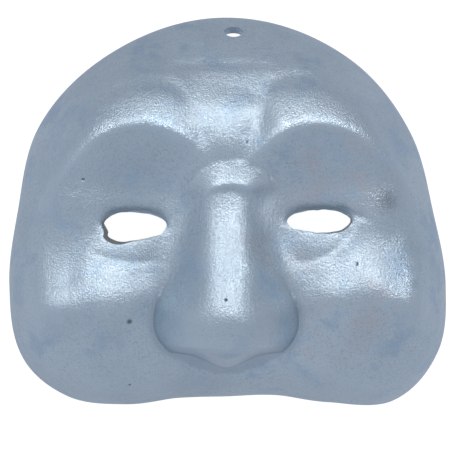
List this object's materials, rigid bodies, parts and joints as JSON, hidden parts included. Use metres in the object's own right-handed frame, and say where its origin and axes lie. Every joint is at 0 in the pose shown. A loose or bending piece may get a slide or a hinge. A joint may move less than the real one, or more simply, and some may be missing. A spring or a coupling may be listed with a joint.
{
  "type": "theatre half mask",
  "caption": "Folk-theatre half mask in thin moulded shell with a large nose, heavy brows, full cheeks, cut eye holes and a hanging hole.",
  "frame": {"origin": "centre of the outline in the plane of the rim, on which the mask lies", "axes": "+Z out of the face, +Y to the top of the forehead, +X to the viewer's right"},
  "size_m": [0.1692, 0.1507, 0.0641],
  "materials": {
    "silver_paint": "brushed-on silver paint over papier-mache, satin, lightly pitted and rubbed"
  },
  "bodies": {
    "root": {"mask_shell": "silver_paint"}
  },
  "joints": []
}
